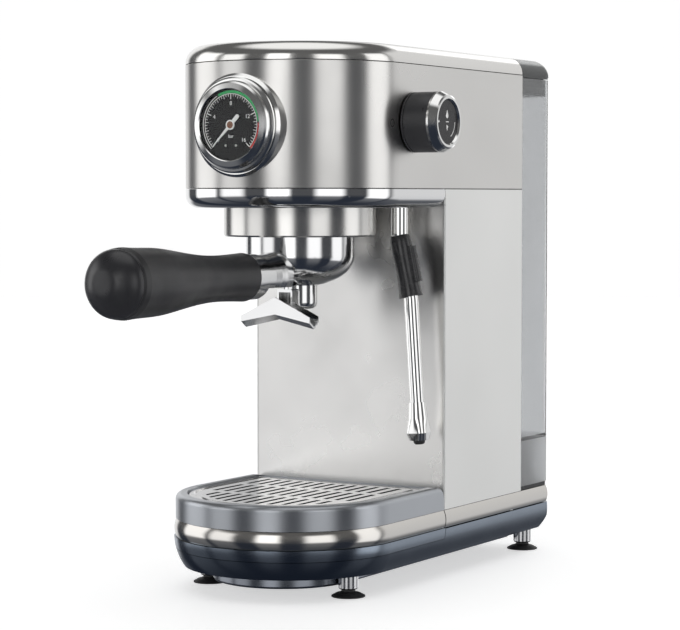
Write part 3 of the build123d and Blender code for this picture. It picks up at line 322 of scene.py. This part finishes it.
scale_white = bmesh.new()
for step in range(TICKS + 1):
    long_mark = step % 12 == 0
    middle_mark = step % 3 == 0
    length = (3.0 if long_mark else 2.2 if middle_mark else 1.4) * MM
    width = (0.5 if long_mark else 0.3) * MM
    clock_deg = SCALE_ENDS[0] + (SCALE_ENDS[1] - SCALE_ENDS[0]) * step / TICKS
    printed_bar(scale_white, clock_deg, TICK_R - length / 2, length, width)
printed_arc(scale_white, TICK_R + 0.2 * MM, 0.35 * MM, *SCALE_ENDS)
printed_arc(scale_white, BAND_R + 0.1 * MM, 0.5 * MM, SCALE_ENDS[0], -30)

mark_white, shader = start_material("mark_white", (0.85, 0.85, 0.84), 0.5)
vary_colour(mark_white, shader, pattern(mark_white, 1500), (0.78, 0.78, 0.77), (0.88, 0.88, 0.87))
finished("dial_scale", scale_white, mark_white, "machine")

mark_green, shader = start_material("mark_green", (0.03, 0.45, 0.13), 0.5)
vary_colour(mark_green, shader, pattern(mark_green, 1200), (0.025, 0.38, 0.10), (0.04, 0.52, 0.16))
green_band = bmesh.new()
printed_arc(green_band, BAND_R, BAND_WIDTH, -27, 84)
finished("dial_green_band", green_band, mark_green, "machine")

mark_red, shader = start_material("mark_red", (0.62, 0.02, 0.02), 0.5)
vary_colour(mark_red, shader, pattern(mark_red, 1200), (0.5, 0.012, 0.012), (0.7, 0.03, 0.03))
red_band = bmesh.new()
printed_arc(red_band, BAND_R, BAND_WIDTH, 87, SCALE_ENDS[1])
finished("dial_red_band", red_band, mark_red, "machine")


def dial_lettering(name, words, size, offset):
    """Raised white figures on the dial, upright, so far from its middle."""
    curve = bpy.data.curves.new(name + "_line", "FONT")
    curve.body = words
    curve.size = size
    curve.align_x = "CENTER"
    curve.align_y = "CENTER"
    curve.extrude = PRINT / 2
    holder = bpy.data.objects.new(name + "_holder", curve)
    bpy.context.scene.collection.objects.link(holder)
    bpy.context.view_layer.update()
    mesh = bpy.data.meshes.new_from_object(holder.evaluated_get(bpy.context.evaluated_depsgraph_get()))
    bpy.data.objects.remove(holder)
    mesh.transform(Matrix.Translation(dial_centre + offset) @ upright)
    mesh.materials.clear()
    mesh.materials.append(mark_white)
    piece = bpy.data.objects.new(name, mesh)
    bpy.context.scene.collection.objects.link(piece)
    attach(piece, "machine")


upright = Matrix.Rotation(radians(90), 4, "X")
for step, figure in enumerate(("0", "4", "8", "12", "16")):
    clock = radians(SCALE_ENDS[0] + 67.5 * step)
    offset = Vector((FIGURE_R * sin(clock), -PRINT / 2, FIGURE_R * cos(clock)))
    dial_lettering(f"dial_figure_{figure}", figure, 3.4 * MM, offset)
dial_lettering("dial_unit", "bar", 2.8 * MM, Vector((0, -PRINT / 2, -6.6 * MM)))

dial_pins = bmesh.new()
for side in (-1, 1):
    pin_centre = dial_centre + Vector((side * 3.6 * MM, 0, -12.0 * MM))
    bmesh.ops.create_uvsphere(dial_pins, u_segments=16, v_segments=10, radius=PIN_R,
                              matrix=Matrix.Translation(pin_centre))
whole = dial_pins.verts[:] + dial_pins.edges[:] + dial_pins.faces[:]
bmesh.ops.bisect_plane(dial_pins, geom=whole, dist=1e-8, plane_co=dial_centre, plane_no=(0, 1, 0),
                       clear_outer=True)
bmesh.ops.holes_fill(dial_pins, edges=[edge for edge in dial_pins.edges if edge.is_boundary])
finished("dial_pins", dial_pins, plated_screw, "machine")

brown_hub, shader = start_material("brown_hub", (0.20, 0.085, 0.045), 0.35, 0.4)
vary_colour(brown_hub, shader, pattern(brown_hub, 900), (0.16, 0.065, 0.035), (0.25, 0.11, 0.06))
HUB_FRONT = 1.16 * MM       # the needle's hub stands this far in front of the dial
hub_button = bmesh.new()
hub_place = Matrix.Translation(dial_centre + Vector((0, -HUB_FRONT, 0))) @ upright
bmesh.ops.create_cone(hub_button, cap_ends=True, segments=32, radius1=2.1 * MM, radius2=1.8 * MM,
                      depth=2 * PRINT, matrix=hub_place)
finished("needle_hub_button", hub_button, brown_hub, "gauge_needle")


# ---- Selector knob ----
# Black moulded knob with a satin skin, a polished bevelled ring, and a set-back dark face
# with printed signs for water, off and steam.
knob_plastic, shader = start_material("knob_plastic", (0.035, 0.035, 0.038), 0.32)
vary_gloss(knob_plastic, shader, pattern(knob_plastic, 200, detail=4), 0.27, 0.4)
add_relief(knob_plastic, shader, pattern(knob_plastic, 2200), 6e-6)
dress(knob_plastic, "knob_body")
dress(ring_chrome, "knob_ring")

face_black, shader = start_material("face_black", (0.018, 0.018, 0.02), 0.25)
shader.inputs["Specular IOR Level"].default_value = 0.3
vary_gloss(face_black, shader, pattern(face_black, 250, detail=4), 0.2, 0.32)
dress(face_black, "knob_face")

face_low, face_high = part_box("knob_face")
face_centre = Vector((face_high.x, (face_low.y + face_high.y) / 2, (face_low.z + face_high.z) / 2))
across_x = Matrix.Rotation(radians(90), 4, "Y")


def on_knob(back, up):
    """Place on the knob's face, so far to the back and so far up from its middle."""
    return Matrix.Translation(face_centre + Vector((PRINT / 2, back * MM, up * MM)))


def printed_strip(bm, back, up, wide, high):
    """Flat bar on the knob's face, its sizes in millimetres."""
    bmesh.ops.create_cube(bm, size=1.0, matrix=on_knob(back, up)
                          @ Matrix.Diagonal((PRINT, wide * MM, high * MM, 1)))


signs = bmesh.new()
DROP_R = 1.5 * MM
DROP_UP = 3.6               # how far the drop sits above the middle, in millimetres
drop = bmesh.ops.create_circle(signs, cap_ends=True, segments=24, radius=DROP_R,
                               matrix=on_knob(0, DROP_UP) @ across_x)
for vert in drop["verts"]:
    height = vert.co.z - (face_centre.z + DROP_UP * MM)
    if height > 0:
        vert.co.z += height * 1.3
        vert.co.y = face_centre.y + (vert.co.y - face_centre.y) * (1 - 0.62 * height / DROP_R)
printed_strip(signs, 0, 0, 3.4, 0.5)
bmesh.ops.create_circle(signs, cap_ends=True, segments=3, radius=1.5 * MM, matrix=on_knob(0, -3.0) @ across_x)
printed_strip(signs, 0, -4.4, 0.7, 1.6)
bmesh.ops.create_circle(signs, cap_ends=True, segments=20, radius=0.8 * MM,
                        matrix=on_knob(-10.4, 0) @ across_x)
sweep_start = face_centre + Vector((PRINT / 2, 9.4 * MM, 0))
ends = [signs.verts.new(sweep_start), signs.verts.new(sweep_start + Vector((0, 0.5 * MM, 0)))]
edge = signs.edges.new(ends)
bmesh.ops.spin(signs, geom=[edge, *ends], cent=face_centre, axis=(1, 0, 0), angle=radians(-62), steps=20)
finished("knob_signs", signs, mark_white, "selector_knob")

off_ring = bmesh.new()
head_low, head_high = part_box("head_shell")
RING_AHEAD = 26.5 * MM      # how far the "off" ring is in front of the knob's axis
ring_centre = Vector((head_high.x + PRINT / 2, face_centre.y - RING_AHEAD, face_centre.z - 1 * MM))
ends = [off_ring.verts.new(ring_centre + Vector((0, radius * MM, 0))) for radius in (1.9, 2.5)]
edge = off_ring.edges.new(ends)
bmesh.ops.spin(off_ring, geom=[edge, *ends], cent=ring_centre, axis=(1, 0, 0), angle=2 * pi, steps=32,
               use_merge=True)
mark_black, shader = start_material("mark_black", (0.03, 0.03, 0.03), 0.5)
vary_colour(mark_black, shader, pattern(mark_black, 900), (0.02, 0.02, 0.02), (0.05, 0.05, 0.05))
finished("off_sign", off_ring, mark_black, "machine")


# ---- Steam wand ----
# Polished tube on a ball, a black silicone grip with a thumb tab, a faceted nozzle and dark tip.
tube_chrome, shader = start_material("tube_chrome", (0.82, 0.82, 0.81), 0.07, 1.0)
vary_gloss(tube_chrome, shader, pattern(tube_chrome, 40, detail=5), 0.05, 0.1)
dress(tube_chrome, "wand_tube", "wand_nozzle")

grip_rubber, shader = start_material("grip_rubber", (0.02, 0.02, 0.022), 0.25)
vary_gloss(grip_rubber, shader, pattern(grip_rubber, 220, detail=4), 0.18, 0.34)
vary_colour(grip_rubber, shader, pattern(grip_rubber, 150), (0.014, 0.014, 0.016), (0.028, 0.028, 0.03))
dress(grip_rubber, "wand_grip")


# ---- Portafilter ----
# Chromed brass casting with two lugs and a neck, a chromed spout, a ferrule, and a moulded
# black handle with a domed button in its end.
bowl_chrome, shader = start_material("bowl_chrome", (0.74, 0.74, 0.74), 0.12, 1.0)
vary_gloss(bowl_chrome, shader, pattern(bowl_chrome, 50, detail=5), 0.09, 0.15)
dress(bowl_chrome, "portafilter_bowl", "spout_stem", "spout", "handle_ferrule")

handle_moulding, shader = start_material("handle_moulding", (0.022, 0.022, 0.024), 0.36)
vary_gloss(handle_moulding, shader, pattern(handle_moulding, 90, detail=5), 0.32, 0.42)
vary_colour(handle_moulding, shader, pattern(handle_moulding, 60, detail=4),
            (0.018, 0.018, 0.02), (0.028, 0.028, 0.03))
add_relief(handle_moulding, shader, pattern(handle_moulding, 2600), 6e-6)
dress(handle_moulding, "handle_grip")

button_moulding, shader = start_material("button_moulding", (0.02, 0.02, 0.023), 0.3)
vary_gloss(button_moulding, shader, pattern(button_moulding, 90, detail=5), 0.26, 0.36)
add_relief(button_moulding, shader, pattern(button_moulding, 2600), 5e-6)
dress(button_moulding, "handle_end_cap")


# ---- Water tank and its lid ----
# Blow-moulded smoked tank that shows the light through, frosted in the skirt under its floor,
# with a darker smoked lid.
SKIRT_TOP = 76.5 * MM       # the tank's floor stands at this height
FROST_STEP = 1.0 * MM


def frosted_below(material, shader, height, clear, frosted):
    """Gloss that turns to frosting under a height, with a trace of cloudiness in it."""
    nodes, links = material.node_tree.nodes, material.node_tree.links
    place = nodes.new("ShaderNodeTexCoord")
    split_place = nodes.new("ShaderNodeSeparateXYZ")
    step = nodes.new("ShaderNodeMapRange")
    step.inputs["From Min"].default_value = height
    step.inputs["From Max"].default_value = height - FROST_STEP
    step.inputs["To Min"].default_value = clear
    step.inputs["To Max"].default_value = frosted
    cloud = nodes.new("ShaderNodeMath")
    cloud.operation = "MULTIPLY_ADD"
    cloud.inputs[1].default_value = 0.08
    links.new(place.outputs["Object"], split_place.inputs["Vector"])
    links.new(split_place.outputs["Z"], step.inputs["Value"])
    links.new(pattern(material, 30, detail=4), cloud.inputs[0])
    links.new(step.outputs["Result"], cloud.inputs[2])
    links.new(cloud.outputs["Value"], shader.inputs["Roughness"])


smoked_tank, shader = start_material("smoked_tank", (0.64, 0.65, 0.66), 0.12)
shader.inputs["Transmission Weight"].default_value = 1.0
shader.inputs["IOR"].default_value = 1.46
frosted_below(smoked_tank, shader, SKIRT_TOP, 0.10, 0.55)
vary_colour(smoked_tank, shader, pattern(smoked_tank, 20, (1, 1, 0.3)),
            (0.61, 0.62, 0.63), (0.67, 0.68, 0.69))
dress(smoked_tank, "water_tank")

smoked_lid, shader = start_material("smoked_lid", (0.10, 0.11, 0.11), 0.1)
shader.inputs["Transmission Weight"].default_value = 0.85
shader.inputs["IOR"].default_value = 1.46
vary_gloss(smoked_lid, shader, pattern(smoked_lid, 60, detail=4), 0.07, 0.14)
dress(smoked_lid, "tank_lid")


# ---- Drip tray, trims and grid ----
# A dark basin in a satin cover with a rolled rim, a bright convex trim that runs on round
# the base, and a polished slotted grid.
tray_satin, shader = start_material("tray_satin", (0.48, 0.50, 0.53), 0.34, 1.0)
brush(tray_satin, shader, 2600, 0.34)
dress(tray_satin, "tray_shell")

trim_polish, shader = start_material("trim_polish", (0.66, 0.64, 0.61), 0.12, 1.0)
vary_gloss(trim_polish, shader, pattern(trim_polish, 40, (1, 1, 8), detail=4), 0.10, 0.15)
dress(trim_polish, "base_band", "tray_band")

grid_polish, shader = start_material("grid_polish", (0.70, 0.70, 0.70), 0.12, 1.0)
vary_gloss(grid_polish, shader, pattern(grid_polish, 70, detail=5), 0.09, 0.2)
dress(grid_polish, "drip_grid")


# ---- Studio ----
# A white sweep, a ring of soft light boxes with dark gaps between them, and the camera.
def studio_mesh(name, bm, material):
    """Part of the set that isn't part of the machine."""
    mesh = bpy.data.meshes.new(name)
    bm.to_mesh(mesh)
    bm.free()
    piece = bpy.data.objects.new(name, mesh)
    bpy.context.scene.collection.objects.link(piece)
    mesh.materials.append(material)
    return piece


FLOOR_R = 4.0
floor_white, shader = start_material("floor_white", (0.86, 0.86, 0.86), 0.6)
shader.inputs["Emission Color"].default_value = (1, 1, 1, 1)
shader.inputs["Emission Strength"].default_value = 0.56
disc = bmesh.new()
bmesh.ops.create_circle(disc, cap_ends=True, segments=96, radius=FLOOR_R)
floor = studio_mesh("floor", disc, floor_white)
floor.visible_glossy = False

backdrop_white, shader = start_material("backdrop_white", (0, 0, 0), 1.0)
shader.inputs["Emission Color"].default_value = (1, 1, 1, 1)
shader.inputs["Emission Strength"].default_value = 1.0
dome = bmesh.new()
bmesh.ops.create_uvsphere(dome, u_segments=64, v_segments=32, radius=FLOOR_R - 0.02)
backdrop = studio_mesh("backdrop", dome, backdrop_white)
backdrop.visible_glossy = False
backdrop.visible_diffuse = False
backdrop.visible_shadow = False

world = bpy.data.worlds.new("studio")
world.use_nodes = True
bpy.context.scene.world = world
nodes, links = world.node_tree.nodes, world.node_tree.links
direction = nodes.new("ShaderNodeTexCoord").outputs["Generated"]
split = nodes.new("ShaderNodeSeparateXYZ")
links.new(direction, split.inputs["Vector"])
flat = nodes.new("ShaderNodeVectorMath")
flat.operation = "MULTIPLY"
flat.inputs[1].default_value = (1, 1, 0)
links.new(direction, flat.inputs[0])
level = nodes.new("ShaderNodeVectorMath")
level.operation = "NORMALIZE"
links.new(flat.outputs["Vector"], level.inputs[0])


def edge_step(value, start, end):
    """0 before start and 1 after end, smooth between; start may be the larger."""
    step = nodes.new("ShaderNodeMapRange")
    step.interpolation_type = "SMOOTHSTEP"
    low, high = min(start, end), max(start, end)
    step.inputs["From Min"].default_value = low
    step.inputs["From Max"].default_value = high
    step.inputs["To Min"].default_value = 0.0 if start < end else 1.0
    step.inputs["To Max"].default_value = 1.0 if start < end else 0.0
    links.new(value, step.inputs["Value"])
    return step.outputs["Result"]


def times(a, b):
    """Product of two sockets, or of a socket and a number."""
    node = nodes.new("ShaderNodeMath")
    node.operation = "MULTIPLY"
    links.new(a, node.inputs[0])
    if isinstance(b, float):
        node.inputs[1].default_value = b
    else:
        links.new(b, node.inputs[1])
    return node.outputs["Value"]


def plus(a, b):
    """Sum of two sockets."""
    node = nodes.new("ShaderNodeMath")
    node.operation = "ADD"
    links.new(a, node.inputs[0])
    links.new(b, node.inputs[1])
    return node.outputs["Value"]


TABLE_SHEEN = 0.15          # how much of a light box the table mirrors


def light_box(turn_deg, half_deg, low_deg, high_deg, strength, soft_deg):
    """Glow of one upright box, and its faint mirror image in the table under it.

    The turn is 0 in front of the machine and 90 at its knob side.
    """
    towards = nodes.new("ShaderNodeVectorMath")
    towards.operation = "DOT_PRODUCT"
    towards.inputs[1].default_value = (sin(radians(turn_deg)), -cos(radians(turn_deg)), 0)
    links.new(level.outputs["Vector"], towards.inputs[0])
    across = edge_step(towards.outputs["Value"], cos(radians(half_deg + soft_deg)),
                       cos(radians(half_deg - soft_deg)))
    above = edge_step(split.outputs["Z"], sin(radians(low_deg - soft_deg)), sin(radians(low_deg + soft_deg)))
    below = edge_step(split.outputs["Z"], sin(radians(high_deg + soft_deg)),
                      sin(radians(high_deg - soft_deg)))
    in_table = times(edge_step(split.outputs["Z"], sin(radians(-75)), sin(radians(low_deg))), TABLE_SHEEN)
    upright = times(plus(above, in_table), below)
    return times(times(across, upright), strength)


LIGHT_BOXES = (
    # turn, half width, lowest, highest, strength, softness of the edges (degrees)
    (-78, 17, -10, 30, 1.15, 4),
    (-40, 13, -10, 26, 1.0, 5),
    (10, 11, -10, 30, 1.45, 4),
    (62, 14, -10, 26, 1.10, 5),
    (118, 14, -20, 30, 1.05, 4),
    (166, 28, -19, 34, 0.60, 6),
    (-132, 14, -14, 30, 0.75, 5),
    (-168, 14, -14, 34, 0.80, 5),
)
glow = edge_step(split.outputs["Z"], sin(radians(52)), sin(radians(68)))
for box in LIGHT_BOXES:
    glow = plus(glow, light_box(*box))
ambient = nodes.new("ShaderNodeValToRGB")
ambient.color_ramp.elements[0].position = 0.35
ambient.color_ramp.elements[0].color = (0.026, 0.032, 0.046, 1)
ambient.color_ramp.elements[1].position = 0.62
ambient.color_ramp.elements[1].color = (0.13, 0.13, 0.13, 1)
raise_z = nodes.new("ShaderNodeMapRange")
raise_z.inputs["From Min"].default_value = -1.0
links.new(split.outputs["Z"], raise_z.inputs["Value"])
links.new(raise_z.outputs["Result"], ambient.inputs["Fac"])
warm = nodes.new("ShaderNodeMix")
warm.data_type = "RGBA"
warm.blend_type = "ADD"
warm.inputs["Factor"].default_value = 1.0
glow_colour = nodes.new("ShaderNodeCombineColor")
for channel in ("Red", "Green", "Blue"):
    links.new(glow, glow_colour.inputs[channel])
links.new(ambient.outputs["Color"], warm.inputs["A"])
links.new(glow_colour.outputs["Color"], warm.inputs["B"])
links.new(warm.outputs["Result"], nodes["Background"].inputs["Color"])

camera = bpy.data.objects.new("camera", bpy.data.cameras.new("camera"))
bpy.context.scene.collection.objects.link(camera)
camera.location = (0.72199, -1.17549, 0.23891)
camera.rotation_euler = (radians(86.98), 0, radians(31.02))
camera.data.sensor_width = 36
camera.data.lens = 119.03
bpy.context.scene.camera = camera
bpy.context.scene.view_settings.view_transform = "Standard"
